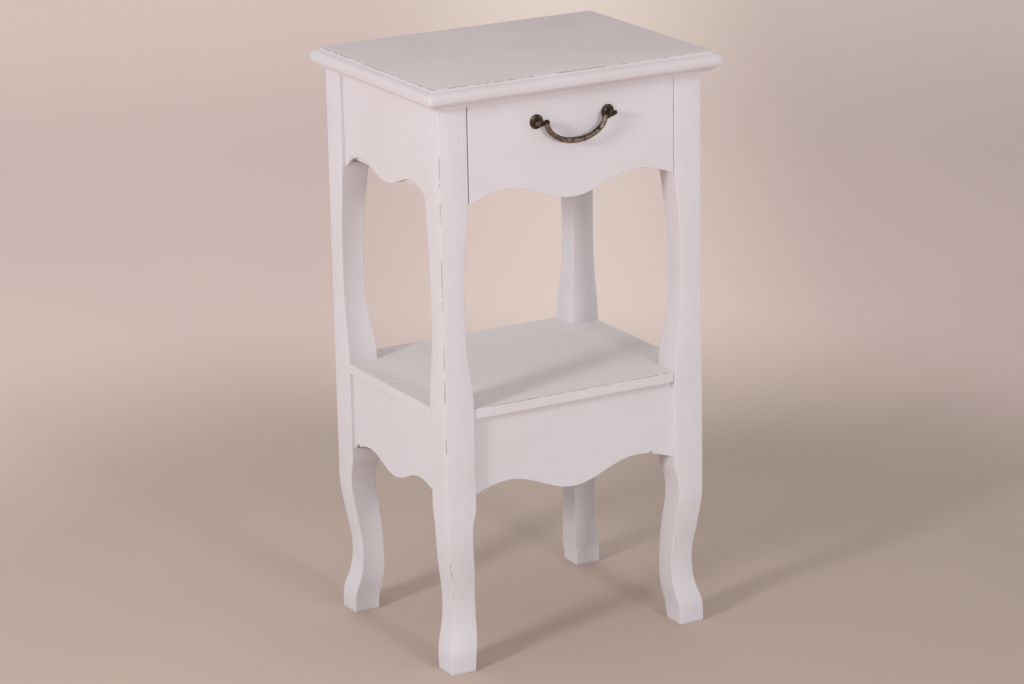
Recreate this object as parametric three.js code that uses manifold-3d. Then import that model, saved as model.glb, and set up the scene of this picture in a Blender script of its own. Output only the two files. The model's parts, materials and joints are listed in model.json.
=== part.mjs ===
// A small white painted side table with one drawer, a lower shelf and four sawn curved legs.
// Sizes are in millimetres. X runs along the front to the right, Y runs to the back, Z runs up.
// The origin lies on the floor, under the middle of the box that holds the whole table.

import * as THREE from "three";
import { mergeVertices } from "three/addons/utils/BufferGeometryUtils.js";
import Module from "manifold-3d";

// Overall sizes
const HEIGHT = 720; // floor to the upper face of the top board
const LEGS_WIDTH = 354; // over the outer faces of the legs, side to side
const LEGS_DEPTH = 286; // over the outer faces of the legs, front to back
const GLUE_LINE = 0.25; // joint between two fixed pieces

// Top board
const TOP_THICKNESS = 16;
const TOP_OVERHANG = 20.5; // past the legs at the front and both sides; the back is flush
const FIELD_INSET = 8.5; // from the nose of the edge to the raised field
const FIELD_STEP = 3.5; // height of the field over the shoulder of the edge
const EDGE_SHOULDER = 1.5; // flat between the field and the rounded nose

// Moulding under the top board
const MOULDING_HEIGHT = 10;
const MOULDING_LIP_REACH = 18.3; // how far its upper lip stands out from the legs
const MOULDING_FOOT_REACH = 8.6; // how far its lower edge stands out from the legs
const MOULDING_LIP = 1.5; // height of the flat above the hollow
const MOULDING_FOOT = 1; // height of the flat below the hollow
const hollowShare = 0.3; // how deep the hollow bows in, as a share of its width and height

// Legs
const LEG_STOCK = 37.5; // thickness of the square block at the top
const LEG_BLOCK = 38.5; // thickness of the square block that carries the shelf
const LEG_WAIST = 29.3; // thickness at the thinnest place over the shelf
const LEG_FOOT = 33; // thickness at the floor
const ANKLE_RECESS = 10; // how far the outer faces are sawn in at the ankle
const BLOCK_BELOW = 18; // the shelf block runs on below the lower aprons
const BLOCK_ABOVE = 12.5; // the shelf block runs on above the shelf

// Leg below the shelf block: share of its height, share of the ankle recess, and share of the
// way from the block thickness to the foot thickness at the inner edge
const footShares = [
  [0, 0, 1],
  [0.09, 0, 0.82],
  [0.14, 0.1, 0.55],
  [0.19, 0.37, 0.18],
  [0.24, 0.65, -0.05],
  [0.3, 0.88, -0.18],
  [0.4, 1, -0.18],
  [0.49, 0.93, -0.09],
  [0.59, 0.63, 0.12],
  [0.69, 0.35, 0.45],
  [0.77, 0.14, 0.78],
  [0.84, 0.02, 0.95],
  [0.91, 0, 0.85],
  [0.96, 0, 0.5],
  [1, 0, 0],
];

// Leg between the two blocks: share of its height, and share of the way from the waist
// thickness to the nearer block thickness at the inner edge
const waistMiddleShare = 0.5; // the nearer block is the upper one from here on
const waistShares = [
  [0, 1],
  [0.055, 0.84],
  [0.14, 0.51],
  [0.186, 0.35],
  [0.267, 0.13],
  [0.343, 0.02],
  [0.424, 0],
  [0.53, 0],
  [0.614, 0.05],
  [0.7, 0.15],
  [0.775, 0.29],
  [0.856, 0.51],
  [0.953, 0.75],
  [1, 1],
];

// Aprons: boards between the legs, tenoned into them
const APRON_THICKNESS = 15;
const UPPER_APRON_DEPTH = 118; // top of the leg to the ends of the upper scallops
const LOWER_APRON_DEPTH = 97; // underside of the shelf to the ends of the lower scallops
const UPPER_SETBACK = 4.5; // upper side and back aprons, behind the faces of the legs
const LOWER_SETBACK = 4.5; // lower side and back aprons, behind the faces of the legs
const LOWER_FRONT_SETBACK = 8.5; // lower front apron, behind the fronts of the legs
const TENON_THICKNESS = 8;
const TENON_LENGTH = 15;
const TENON_SHOULDER = 12; // above and below the tenon

// Scalloped lower edges: a valley in the middle rises to two humps, which drop to the ends
const DRAWER_RISE = 22.2;
const DRAWER_DROP = 12.5;
const LOWER_FRONT_RISE = 23.8;
const LOWER_FRONT_DROP = 11.5;
const UPPER_SIDE_RISE = 16.1;
const UPPER_SIDE_DROP = 18;
const LOWER_SIDE_RISE = 17.6;
const LOWER_SIDE_DROP = 10.5;
const frontHumpShare = 0.64; // place of the humps on the front, from the middle to the end
const sideHumpShare = 0.625; // place of the humps on the sides, from the middle to the end

// Shelf
const SHELF_HEIGHT = 327.5; // floor to the upper face of the shelf
const SHELF_THICKNESS = 12.5;
const SHELF_SETBACK = 2; // front edge of the shelf, behind the fronts of the legs
const CLEAT = 15; // square section of the strips that hold the shelf

// Drawer
const DRAWER_SIDE_GAP = 1.5; // between the drawer front and each leg
const DRAWER_TOP_GAP = 1; // between the drawer front and the moulding
const DRAWER_FRONT_THICKNESS = 15;
const BOX_SIDE_GAP = 2.5; // between the drawer box and each leg
const BOX_BOARD = 10; // thickness of the drawer sides and back
const BOTTOM_THICKNESS = 4;
const BOTTOM_HEIGHT = 6; // lower edge of the drawer sides to the drawer bottom
const GROOVE_DEPTH = 5; // groove that holds the drawer bottom

// Drawer guides
const SEAT_GAP = 0.3; // between the drawer and what it rests against
const RUNNING_GAP = 1; // above the drawer box and beside it
const RUNNER_THICKNESS = 12;
const RUNNER_MARGIN = 5.7; // the runners lie this far above the humps of the side aprons
const RUNNER_LIP = 15; // how far runners and kickers reach in past the side of the box
const GUIDE_HEIGHT = 28; // side guide above the seat of the runner
const KICKER_THICKNESS = 11;
const STOP_LENGTH = 10;
const STOP_HEIGHT = 20;

// Handle
const POST_SPACING = 96;
const PIVOT_REACH = 10.5; // hinge line of the bail, in front of the drawer
const BAIL_DROP = 26; // hinge line to the middle of the rod at its lowest place
const BAIL_TOP_GAP = 1.2; // between the raised bail and the moulding
const ROD_RADIUS = 3.5;
const KNUCKLE_RADIUS = 3.6; // round end of the rod, where the hinge pin leaves it
const GRIP_RADIUS = 3.8; // swelling in the middle of the bail
const GRIP_LENGTH = 22; // between the middles of the two collars
const COLLAR_RADIUS = 4;
const COLLAR_LENGTH = 2.4;
const PIN_RADIUS = 1.8;
const PIN_GAP = 0.35; // around the pin in its eye
const PIN_HEAD_RADIUS = 2.6;
const PIN_HEAD_LENGTH = 1.2;
const BALL_RADIUS = 4.3;
const BALL_GAP = 0.6; // between the ball of a post and what turns beside it
const STEM_RADIUS = 3.2;
const NUB_RADIUS = 3;
const NUB_REACH = 15.5; // tip of the post, in front of the drawer
const ROSETTE_RADIUS = 8.75;
const ROSETTE_THICKNESS = 3;
const ROSETTE_RIM = 0.9; // height of the thin outer rim of the rosette

// Rosette over its rim: share of its radius, and share of the height left over the rim
const rosetteShares = [
  [0.86, 0.15],
  [0.72, 0.5],
  [0.56, 0.85],
  [0.44, 1],
];

// Screws
const SCREW_RADIUS = 2;
const SCREW_HEAD_RADIUS = 4;
const SCREW_HEAD_HEIGHT = 2.6;
const SCREW_TIP = 3;
const SLOT_WIDTH = 1.1;
const SLOT_DEPTH = 1.2;
const TOP_SCREW_BITE = 9; // length of the screws inside the top board
const SHELF_SCREW_BITE = 7; // length of the screws inside the shelf
const HANDLE_SCREW_BITE = 2.4; // length of the screws inside the posts, past the rosettes
const screwPlaceShare = 0.64; // place of the screws, from the middle to the end of the strip

// Fineness of round shapes
const ROUND_SIDES = 16;
const SCREW_SIDES = 12;
const CURVE_SEGMENTS = 4;
const SCALLOP_STEPS = 16; // from the middle of a scallop to its end
const BAIL_STEPS = 22;
const OVERRUN = 2; // how far a cutting shape runs on past the piece that it cuts
const WELD = 1e-4; // vertices closer than this are one

// Places that follow from the sizes
const legsHalf = LEGS_WIDTH / 2;
const legsFront = -(LEGS_DEPTH - TOP_OVERHANG) / 2;
const legsBack = legsFront + LEGS_DEPTH;
const legsMiddle = (legsFront + legsBack) / 2;
const topFloor = HEIGHT - TOP_THICKNESS;
const legTop = topFloor - MOULDING_HEIGHT;
const upperEdge = legTop - UPPER_APRON_DEPTH;
const shelfFloor = SHELF_HEIGHT - SHELF_THICKNESS;
const lowerEdge = shelfFloor - LOWER_APRON_DEPTH;
const kneeHeight = lowerEdge - BLOCK_BELOW;
const waistBase = SHELF_HEIGHT + BLOCK_ABOVE;

const drawerFace = legsFront;
const drawerBack = drawerFace + DRAWER_FRONT_THICKNESS;
const drawerTop = legTop - DRAWER_TOP_GAP;
const drawerHalf = legsHalf - LEG_STOCK - DRAWER_SIDE_GAP;
const boxHalf = legsHalf - LEG_STOCK - BOX_SIDE_GAP;
const kickerFloor = legTop - KICKER_THICKNESS;
const boxTop = kickerFloor - RUNNING_GAP;
const runnerFloor = upperEdge + UPPER_SIDE_DROP + RUNNER_MARGIN;
const runnerSeat = runnerFloor + RUNNER_THICKNESS;
const boxFloor = runnerSeat + SEAT_GAP;
const bottomFloor = boxFloor + BOTTOM_HEIGHT;
const bottomTop = bottomFloor + BOTTOM_THICKNESS;
const upperApronInside = legsHalf - UPPER_SETBACK - APRON_THICKNESS;
const lowerApronInside = legsHalf - LOWER_SETBACK - APRON_THICKNESS;
const guideFront = legsFront + LEG_STOCK + GLUE_LINE;
const guideBack = legsBack - LEG_STOCK - GLUE_LINE;
const stopFront = guideBack - STOP_LENGTH;
const boxBack = stopFront - SEAT_GAP;
const handleHeight = legTop - BAIL_TOP_GAP - GRIP_RADIUS - BAIL_DROP;
const eyeRadius = PIN_RADIUS + PIN_GAP;
const bailHalf = POST_SPACING / 2 - BALL_RADIUS - BALL_GAP - KNUCKLE_RADIUS;
const screwHole = SCREW_RADIUS + GLUE_LINE;

// Solids: closed meshes that can be joined and cut
const wasm = await Module();
wasm.setup();

function toSolid(geometry) {
  const bare = geometry.clone();
  bare.deleteAttribute("normal");
  bare.deleteAttribute("uv");
  const merged = mergeVertices(bare, WELD);
  return new wasm.Manifold(
    new wasm.Mesh({
      numProp: 3,
      vertProperties: merged.attributes.position.array,
      triVerts: Uint32Array.from(merged.index.array),
    }),
  );
}

function toGeometry(solid) {
  const mesh = solid.getMesh();
  const geometry = new THREE.BufferGeometry();
  geometry.setAttribute(
    "position",
    new THREE.BufferAttribute(mesh.vertProperties, mesh.numProp),
  );
  geometry.setIndex(new THREE.BufferAttribute(mesh.triVerts, 1));
  geometry.computeVertexNormals();
  return geometry;
}

// Shape helpers: an outline is drawn across the axis that it is extruded along,
// in Y and Z along x, in X and Z along y, and in X and Y along z
const axisX = new THREE.Vector3(1, 0, 0);
const axisY = new THREE.Vector3(0, 1, 0);
const axisZ = new THREE.Vector3(0, 0, 1);
const turns = {
  x: new THREE.Matrix4().makeBasis(axisY, axisZ, axisX),
  y: new THREE.Matrix4().makeBasis(axisX, axisZ, axisY.clone().negate()),
  z: new THREE.Matrix4(),
};

function outline(pairs) {
  return new THREE.Shape(pairs.map(([u, v]) => new THREE.Vector2(u, v)));
}

function prism(axis, shape, from, to) {
  const geometry = new THREE.ExtrudeGeometry(shape, {
    depth: to - from,
    bevelEnabled: false,
    curveSegments: CURVE_SEGMENTS,
  });
  geometry.applyMatrix4(turns[axis]);
  if (axis === "x") geometry.translate(from, 0, 0);
  if (axis === "y") geometry.translate(0, to, 0);
  if (axis === "z") geometry.translate(0, 0, from);
  return geometry;
}

function block([x0, x1], [y0, y1], [z0, z1]) {
  const geometry = new THREE.BoxGeometry(x1 - x0, y1 - y0, z1 - z0);
  geometry.translate((x0 + x1) / 2, (y0 + y1) / 2, (z0 + z1) / 2);
  return geometry;
}

// A turned piece stands along Z; its profile lists radius and height from the bottom up
function turned(profile, sides) {
  const points = profile.map(([radius, z]) => new THREE.Vector2(radius, z));
  const geometry = new THREE.LatheGeometry(points, sides);
  geometry.rotateX(Math.PI / 2);
  return geometry;
}

// Materials: every piece gets its own
const looks = {
  paint: { color: 0xe2d9d9, roughness: 0.42, metalness: 0 },
  topPaint: { color: 0xd8cecd, roughness: 0.38, metalness: 0 },
  pine: { color: 0xd8c19a, roughness: 0.7, metalness: 0 },
  plywood: { color: 0xcfb68c, roughness: 0.65, metalness: 0 },
  brass: { color: 0x6e5a36, roughness: 0.42, metalness: 0.9 },
  steel: { color: 0xa9aba8, roughness: 0.35, metalness: 0.95 },
};

const table = new THREE.Group();
const drawer = new THREE.Group();
table.add(drawer);

function piece(name, look, geometry, parent = table) {
  const mesh = new THREE.Mesh(
    geometry,
    new THREE.MeshStandardMaterial(looks[look]),
  );
  mesh.name = name;
  parent.add(mesh);
  return mesh;
}

// Screws stand head down along Z, with a slot across the head
function slotted(profile) {
  const slot = block(
    [-SCREW_HEAD_RADIUS - OVERRUN, SCREW_HEAD_RADIUS + OVERRUN],
    [-SLOT_WIDTH / 2, SLOT_WIDTH / 2],
    [-OVERRUN, SLOT_DEPTH],
  );
  const solid = toSolid(turned(profile, SCREW_SIDES)).subtract(toSolid(slot));
  return toGeometry(solid);
}

function woodScrew(length) {
  return slotted([
    [0, 0],
    [SCREW_HEAD_RADIUS, 0],
    [SCREW_RADIUS, SCREW_HEAD_HEIGHT],
    [SCREW_RADIUS, length - SCREW_TIP],
    [SCREW_RADIUS / 2, length],
    [0, length],
  ]);
}

function machineScrew(length) {
  return slotted([
    [0, 0],
    [SCREW_HEAD_RADIUS, 0],
    [SCREW_HEAD_RADIUS, SCREW_HEAD_HEIGHT],
    [SCREW_RADIUS, SCREW_HEAD_HEIGHT],
    [SCREW_RADIUS, SCREW_HEAD_HEIGHT + length],
    [0, SCREW_HEAD_HEIGHT + length],
  ]);
}

// The hole for a wood screw follows its shape with a small gap
function drill(solid, length, places) {
  return places.reduce((drilled, [x, y, z]) => {
    const hole = turned(
      [
        [0, -OVERRUN],
        [SCREW_HEAD_RADIUS + GLUE_LINE, -OVERRUN],
        [SCREW_HEAD_RADIUS + GLUE_LINE, 0],
        [screwHole, SCREW_HEAD_HEIGHT],
        [screwHole, length + GLUE_LINE],
        [0, length + GLUE_LINE],
      ],
      SCREW_SIDES,
    );
    hole.translate(x, y, z);
    return drilled.subtract(toSolid(hole));
  }, solid);
}

// Every piece that has a twin is drawn for the right-hand side or the front-left corner
const hands = [
  ["left", -1],
  ["right", 1],
];

// Screws: the top ones go up through kicker and side moulding, the lower ones through the cleats
const screwReach = (screwPlaceShare * (guideBack - guideFront)) / 2;
const screwRows = [
  ["front", legsMiddle - screwReach],
  ["back", legsMiddle + screwReach],
];
const topScrewX = (legsHalf - LEG_STOCK + upperApronInside) / 2;
const topScrewLength = topFloor - kickerFloor + TOP_SCREW_BITE;
const topScrewPlaces = screwRows.map(([, y]) => [topScrewX, y, kickerFloor]);
const cleatTop = shelfFloor - GLUE_LINE;
const cleatFloor = cleatTop - CLEAT;
const cleatOutside = lowerApronInside - GLUE_LINE;
const shelfScrewX = cleatOutside - CLEAT / 2;
const shelfScrewLength = shelfFloor - cleatFloor + SHELF_SCREW_BITE;
const shelfScrewPlaces = screwRows.map(([, y]) => [shelfScrewX, y, cleatFloor]);

// The same places on both sides of the table
function bothSides(places) {
  return places.flatMap(([x, y, z]) => [
    [x, y, z],
    [-x, y, z],
  ]);
}

// Top board: a raised field, a small shoulder and a rounded nose along all four edges
function edgeSection(half) {
  const nose = FIELD_INSET - EDGE_SHOULDER;
  const shoulder = HEIGHT - FIELD_STEP;
  const shape = new THREE.Shape();
  shape.moveTo(-half, topFloor);
  shape.lineTo(half, topFloor);
  shape.absarc(half - nose, shoulder - nose, nose, 0, Math.PI / 2, false);
  shape.lineTo(half - FIELD_INSET, shoulder);
  shape.lineTo(half - FIELD_INSET, HEIGHT);
  shape.lineTo(FIELD_INSET - half, HEIGHT);
  shape.lineTo(FIELD_INSET - half, shoulder);
  shape.absarc(nose - half, shoulder - nose, nose, Math.PI / 2, Math.PI, false);
  shape.closePath();
  return shape;
}

const topHalfWidth = legsHalf + TOP_OVERHANG;
const topHalfDepth = (LEGS_DEPTH + TOP_OVERHANG) / 2;
const acrossBoard = prism("y", edgeSection(topHalfWidth), -topHalfDepth, topHalfDepth);
const alongBoard = prism("x", edgeSection(topHalfDepth), -topHalfWidth, topHalfWidth);
const topBlank = toSolid(acrossBoard).intersect(toSolid(alongBoard));
const topDrilled = drill(topBlank, topScrewLength, bothSides(topScrewPlaces));
piece("top_board", "topPaint", toGeometry(topDrilled));

// Moulding under the top board: a hollow section, mitred at the two front corners
const mouldingFloor = legTop + GLUE_LINE;
const mouldingTop = topFloor - GLUE_LINE;

function mouldingSection(face, outward) {
  const out = (reach) => face + outward * reach;
  const hollowFloor = mouldingFloor + MOULDING_FOOT;
  const hollowTop = mouldingTop - MOULDING_LIP;
  const bow = MOULDING_FOOT_REACH + hollowShare * (MOULDING_LIP_REACH - MOULDING_FOOT_REACH);
  const shape = new THREE.Shape();
  shape.moveTo(out(-LEG_STOCK), mouldingFloor);
  shape.lineTo(out(MOULDING_FOOT_REACH), mouldingFloor);
  shape.lineTo(out(MOULDING_FOOT_REACH), hollowFloor);
  shape.quadraticCurveTo(
    out(bow),
    hollowTop - hollowShare * (hollowTop - hollowFloor),
    out(MOULDING_LIP_REACH),
    hollowTop,
  );
  shape.lineTo(out(MOULDING_LIP_REACH), mouldingTop);
  shape.lineTo(out(-LEG_STOCK), mouldingTop);
  shape.closePath();
  return shape;
}

const mitreIn = -LEG_STOCK - OVERRUN;
const mitreOut = MOULDING_LIP_REACH + OVERRUN;
const mitreGap = GLUE_LINE * Math.SQRT2;
const frontStrip = prism(
  "x",
  mouldingSection(legsFront, -1),
  -legsHalf - mitreOut,
  legsHalf + mitreOut,
);
const frontPlan = outline([
  [-legsHalf - mitreOut, legsFront - mitreOut],
  [legsHalf + mitreOut, legsFront - mitreOut],
  [legsHalf + mitreIn, legsFront - mitreIn],
  [-legsHalf - mitreIn, legsFront - mitreIn],
]);
const frontMitre = prism("z", frontPlan, legTop - OVERRUN, topFloor + OVERRUN);
piece(
  "top_moulding_front",
  "paint",
  toGeometry(toSolid(frontStrip).intersect(toSolid(frontMitre))),
);

const sideStrip = prism(
  "y",
  mouldingSection(legsHalf, 1),
  legsFront - mitreOut,
  legsBack,
);
const sidePlan = outline([
  [legsHalf + mitreOut, legsFront - mitreOut + mitreGap],
  [legsHalf + mitreOut, legsBack + OVERRUN],
  [legsHalf + mitreIn, legsBack + OVERRUN],
  [legsHalf + mitreIn, legsFront - mitreIn + mitreGap],
]);
const sideMitre = prism("z", sidePlan, legTop - OVERRUN, topFloor + OVERRUN);
const sideBlank = toSolid(sideStrip).intersect(toSolid(sideMitre));
for (const [hand, side] of hands) {
  const drilled = drill(sideBlank, topScrewLength, topScrewPlaces);
  const strip = piece("top_moulding_" + hand, "paint", toGeometry(drilled));
  strip.scale.x = side;
}

const battenHalf = legsHalf - LEG_STOCK - GLUE_LINE;
piece(
  "top_batten_back",
  "pine",
  block(
    [-battenHalf, battenHalf],
    [legsBack - LEG_STOCK, legsBack],
    [mouldingFloor, mouldingTop],
  ),
);

// Aprons: each is drawn along X with its outer face at Y zero
const frontHalf = legsHalf - LEG_BLOCK - GLUE_LINE;
const upperBackHalf = legsHalf - LEG_STOCK - GLUE_LINE;
const upperSideHalf = LEGS_DEPTH / 2 - LEG_STOCK - GLUE_LINE;
const lowerSideHalf = LEGS_DEPTH / 2 - LEG_BLOCK - GLUE_LINE;
const lowerTop = shelfFloor - GLUE_LINE;
const upper = { top: legTop, edge: upperEdge, stock: LEG_STOCK };
const lower = { top: lowerTop, edge: lowerEdge, stock: LEG_BLOCK };
const aprons = {
  upperSide: {
    ...upper,
    half: upperSideHalf,
    setback: UPPER_SETBACK,
    rise: UPPER_SIDE_RISE,
    drop: UPPER_SIDE_DROP,
    humpShare: sideHumpShare,
  },
  upperBack: { ...upper, half: upperBackHalf, setback: UPPER_SETBACK },
  lowerFront: {
    ...lower,
    half: frontHalf,
    setback: LOWER_FRONT_SETBACK,
    rise: LOWER_FRONT_RISE,
    drop: LOWER_FRONT_DROP,
    humpShare: frontHumpShare,
  },
  lowerSide: {
    ...lower,
    half: lowerSideHalf,
    setback: LOWER_SETBACK,
    rise: LOWER_SIDE_RISE,
    drop: LOWER_SIDE_DROP,
    humpShare: sideHumpShare,
  },
  lowerBack: { ...lower, half: frontHalf, setback: LOWER_SETBACK },
};

// Board with a flat top and a scalloped lower edge; without a rise the lower edge is straight
function scalloped({ half, top, edge, rise, drop, humpShare }) {
  if (!rise) {
    return outline([
      [-half, edge],
      [half, edge],
      [half, top],
      [-half, top],
    ]);
  }
  const hump = half * humpShare;
  const heightAt = (distance) => {
    if (distance <= hump) {
      const wave = (1 + Math.cos((Math.PI * distance) / hump)) / 2;
      return edge + drop - rise * wave;
    }
    const fall = (distance - hump) / (half - hump);
    return edge + drop * Math.cos((Math.PI / 2) * fall);
  };
  const points = [];
  for (let i = -SCALLOP_STEPS; i <= SCALLOP_STEPS; i += 1) {
    const place = (half * i) / SCALLOP_STEPS;
    points.push([place, heightAt(Math.abs(place))]);
  }
  return outline([...points, [half, top], [-half, top]]);
}

const tenonOutside = (APRON_THICKNESS - TENON_THICKNESS) / 2;

function apron(spec) {
  const reach = spec.half + GLUE_LINE + TENON_LENGTH;
  const board = prism("y", scalloped(spec), 0, APRON_THICKNESS);
  const tenons = block(
    [-reach, reach],
    [tenonOutside, tenonOutside + TENON_THICKNESS],
    [spec.edge + TENON_SHOULDER, spec.top - TENON_SHOULDER],
  );
  return toGeometry(toSolid(board).add(toSolid(tenons)));
}

for (const [hand, side] of hands) {
  for (const [level, spec] of [
    ["upper", aprons.upperSide],
    ["lower", aprons.lowerSide],
  ]) {
    const board = piece(level + "_apron_" + hand, "paint", apron(spec));
    board.rotation.z = (side * Math.PI) / 2;
    board.position.set(side * (legsHalf - spec.setback), legsMiddle, 0);
  }
}
const frontApron = piece("lower_apron_front", "paint", apron(aprons.lowerFront));
frontApron.position.y = legsFront + aprons.lowerFront.setback;
for (const [level, spec] of [
  ["upper", aprons.upperBack],
  ["lower", aprons.lowerBack],
]) {
  const board = piece(level + "_apron_back", "paint", apron(spec));
  board.rotation.z = Math.PI;
  board.position.y = legsBack - spec.setback;
}

// Legs: both pairs of faces are sawn to one pattern, so a leg is where two patterns meet.
// A leg is drawn from its outer corner inwards, along X and Y.
function smooth(pairs) {
  const curve = new THREE.SplineCurve(pairs.map(([u, v]) => new THREE.Vector2(u, v)));
  return curve.getPoints(2 * (pairs.length - 1)).map((point) => [point.x, point.y]);
}

const footInner = smooth(
  footShares.map(([up, , slim]) => [
    LEG_BLOCK - slim * (LEG_BLOCK - LEG_FOOT),
    up * kneeHeight,
  ]),
);
const footOuter = smooth(
  footShares.map(([up, recess]) => [recess * ANKLE_RECESS, up * kneeHeight]),
).map(([recess, z]) => [Math.max(recess, 0), z]);
const waistInner = smooth(
  waistShares.map(([up, full]) => {
    const end = up < waistMiddleShare ? LEG_BLOCK : LEG_STOCK;
    return [LEG_WAIST + full * (end - LEG_WAIST), waistBase + up * (upperEdge - waistBase)];
  }),
);
const legPattern = outline([
  ...footInner,
  ...waistInner,
  [LEG_STOCK, legTop],
  [0, legTop],
  ...footOuter.reverse(),
]);
const legDepth = LEG_BLOCK + ANKLE_RECESS;
const legBlank = toSolid(prism("y", legPattern, -OVERRUN, legDepth)).intersect(
  toSolid(prism("x", legPattern, -OVERRUN, legDepth)),
);

// A mortise is its tenon with a glue line all round
function mortise(spec, direction) {
  const tenonStart = spec.setback + tenonOutside;
  const across = [tenonStart - GLUE_LINE, tenonStart + TENON_THICKNESS + GLUE_LINE];
  const along = [spec.stock - TENON_LENGTH - GLUE_LINE, spec.stock + OVERRUN];
  const up = [
    spec.edge + TENON_SHOULDER - GLUE_LINE,
    spec.top - TENON_SHOULDER + GLUE_LINE,
  ];
  const cut = direction === "x" ? block(along, across, up) : block(across, along, up);
  return toSolid(cut);
}

const legWithSides = legBlank
  .subtract(mortise(aprons.upperSide, "y"))
  .subtract(mortise(aprons.lowerSide, "y"));
const legEnds = [
  ["front", legsFront, 1, legWithSides.subtract(mortise(aprons.lowerFront, "x"))],
  [
    "back",
    legsBack,
    -1,
    legWithSides
      .subtract(mortise(aprons.upperBack, "x"))
      .subtract(mortise(aprons.lowerBack, "x")),
  ],
];
for (const [end, y, inward, solid] of legEnds) {
  for (const [hand, side] of hands) {
    const leg = piece("leg_" + end + "_" + hand, "paint", toGeometry(solid));
    leg.position.set(side * legsHalf, y, 0);
    leg.scale.set(-side, inward, 1);
  }
}

// Shelf: one board let in between the four legs and flush with their side and back faces
const notchX = legsHalf - LEG_BLOCK - GLUE_LINE;
const notchFront = legsFront + LEG_BLOCK + GLUE_LINE;
const notchBack = legsBack - LEG_BLOCK - GLUE_LINE;
const shelfFront = legsFront + SHELF_SETBACK;
const shelfPlan = outline([
  [-notchX, shelfFront],
  [notchX, shelfFront],
  [notchX, notchFront],
  [legsHalf, notchFront],
  [legsHalf, notchBack],
  [notchX, notchBack],
  [notchX, legsBack],
  [-notchX, legsBack],
  [-notchX, notchBack],
  [-legsHalf, notchBack],
  [-legsHalf, notchFront],
  [-notchX, notchFront],
]);
const shelfBlank = toSolid(prism("z", shelfPlan, shelfFloor, SHELF_HEIGHT));
const shelfDrilled = drill(shelfBlank, shelfScrewLength, bothSides(shelfScrewPlaces));
piece("shelf_board", "topPaint", toGeometry(shelfDrilled));

// Guides: each runner is a seat under the drawer side with a guide beside it
const lipInside = boxHalf - RUNNER_LIP;
const guideOutside = upperApronInside - GLUE_LINE;
const runnerSection = outline([
  [lipInside, runnerFloor],
  [guideOutside, runnerFloor],
  [guideOutside, runnerSeat + GUIDE_HEIGHT],
  [boxHalf + RUNNING_GAP, runnerSeat + GUIDE_HEIGHT],
  [boxHalf + RUNNING_GAP, runnerSeat],
  [lipInside, runnerSeat],
]);
const kickerBlank = toSolid(
  block([lipInside, guideOutside], [guideFront, guideBack], [kickerFloor, legTop]),
);
const cleatBlank = toSolid(
  block(
    [cleatOutside - CLEAT, cleatOutside],
    [notchFront, notchBack],
    [cleatFloor, cleatTop],
  ),
);
for (const [hand, side] of hands) {
  const runner = prism("y", runnerSection, guideFront, guideBack);
  const stop = block(
    [lipInside, boxHalf + RUNNING_GAP - GLUE_LINE],
    [stopFront, guideBack],
    [runnerSeat + GLUE_LINE, runnerSeat + GLUE_LINE + STOP_HEIGHT],
  );
  const kicker = drill(kickerBlank, topScrewLength, topScrewPlaces);
  const cleat = drill(cleatBlank, shelfScrewLength, shelfScrewPlaces);
  const pieces = [
    piece("drawer_runner_" + hand, "pine", runner),
    piece("drawer_stop_" + hand, "pine", stop),
    piece("drawer_kicker_" + hand, "pine", toGeometry(kicker)),
    piece("shelf_cleat_" + hand, "pine", toGeometry(cleat)),
  ];
  for (const mirrored of pieces) mirrored.scale.x = side;
  topScrewPlaces.forEach(([x, y, z], row) => {
    const name = "top_screw_" + screwRows[row][0] + "_" + hand;
    piece(name, "steel", woodScrew(topScrewLength)).position.set(side * x, y, z);
  });
  shelfScrewPlaces.forEach(([x, y, z], row) => {
    const name = "shelf_screw_" + screwRows[row][0] + "_" + hand;
    piece(name, "steel", woodScrew(shelfScrewLength)).position.set(side * x, y, z);
  });
}

// Drawer: a scalloped front, two grooved sides, a back, and a thin bottom held in the grooves
const frontShape = scalloped({
  half: drawerHalf,
  top: drawerTop,
  edge: upperEdge,
  rise: DRAWER_RISE,
  drop: DRAWER_DROP,
  humpShare: frontHumpShare,
});
const boxInside = boxHalf - BOX_BOARD;
const bottomHalf = boxInside + GROOVE_DEPTH;
const grooveFloor = bottomFloor - GLUE_LINE;
const grooveTop = bottomTop + GLUE_LINE;
const frontGroove = block(
  [-bottomHalf - GLUE_LINE, bottomHalf + GLUE_LINE],
  [drawerBack - GROOVE_DEPTH - GLUE_LINE, drawerBack + OVERRUN],
  [grooveFloor, grooveTop],
);

// A round bar along X or Y, used for holes
function bar(axis, radius, [from, to], [across, up], sideCount) {
  const geometry = new THREE.CylinderGeometry(radius, radius, to - from, sideCount);
  if (axis === "x") geometry.rotateZ(Math.PI / 2);
  const middle = (from + to) / 2;
  geometry.translate(
    axis === "x" ? middle : across,
    axis === "x" ? across : middle,
    up,
  );
  return toSolid(geometry);
}

const postPlaces = hands.map(([hand, side]) => [hand, (side * POST_SPACING) / 2]);
let drawerFront = toSolid(prism("y", frontShape, drawerFace, drawerBack)).subtract(
  toSolid(frontGroove),
);
for (const [, x] of postPlaces) {
  drawerFront = drawerFront.subtract(
    bar(
      "y",
      screwHole,
      [drawerFace - OVERRUN, drawerBack + OVERRUN],
      [x, handleHeight],
      SCREW_SIDES,
    ),
  );
}
piece("drawer_front", "paint", toGeometry(drawerFront), drawer);

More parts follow.
